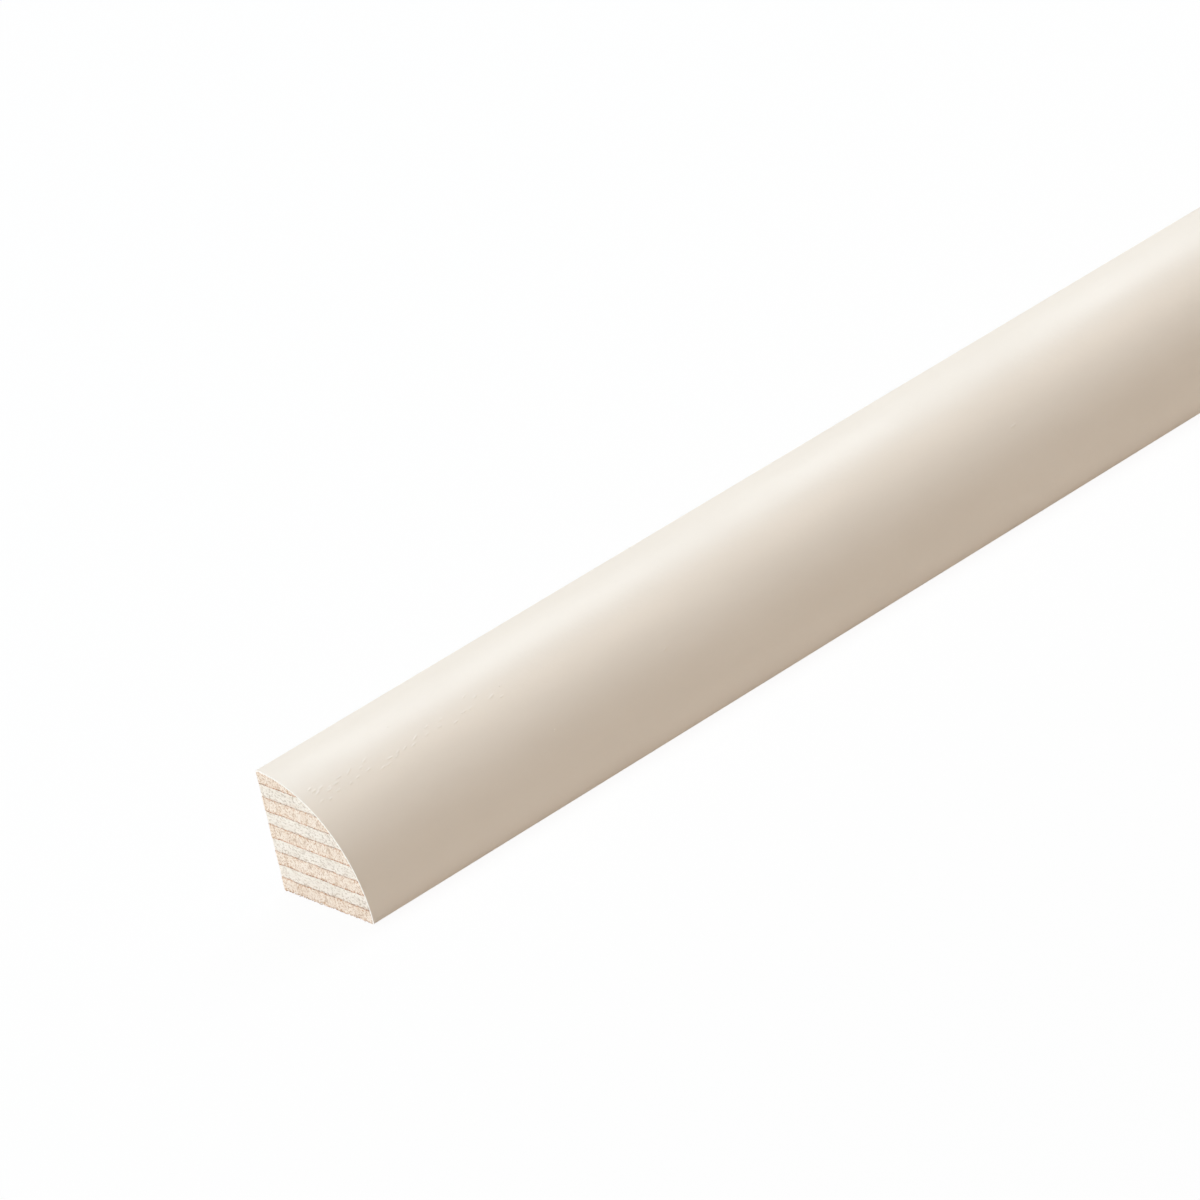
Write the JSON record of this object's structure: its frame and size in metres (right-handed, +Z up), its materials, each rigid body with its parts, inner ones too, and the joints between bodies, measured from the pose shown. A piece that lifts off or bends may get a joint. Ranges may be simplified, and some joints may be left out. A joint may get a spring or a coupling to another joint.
{
  "type": "quarter round moulding",
  "caption": "Long stick of quarter round trim: plywood section with two square flat faces and a quarter-circle face wrapped in a white film, for covering a floor-to-wall joint.",
  "frame": {"origin": "on the floor plane, under the middle of the stick's box", "axes": "+X along the stick, +Y out of the flat wall face, +Z up off the floor; the curved face looks towards -Y and +Z"},
  "size_m": [2.4, 0.018, 0.018],
  "materials": {
    "long_grain_veneer": "sawn and sanded, unfinished",
    "cross_grain_veneer": "sawn and sanded, unfinished",
    "white_film": "satin warm off-white"
  },
  "bodies": {
    "root": {"ply_1_long_grain": "long_grain_veneer", "ply_2_cross_grain": "cross_grain_veneer", "ply_3_long_grain": "long_grain_veneer", "ply_4_cross_grain": "cross_grain_veneer", "ply_5_long_grain": "long_grain_veneer", "ply_6_cross_grain": "cross_grain_veneer", "ply_7_long_grain": "long_grain_veneer", "ply_8_cross_grain": "cross_grain_veneer", "ply_9_long_grain": "long_grain_veneer", "face_film": "white_film"}
  },
  "joints": []
}
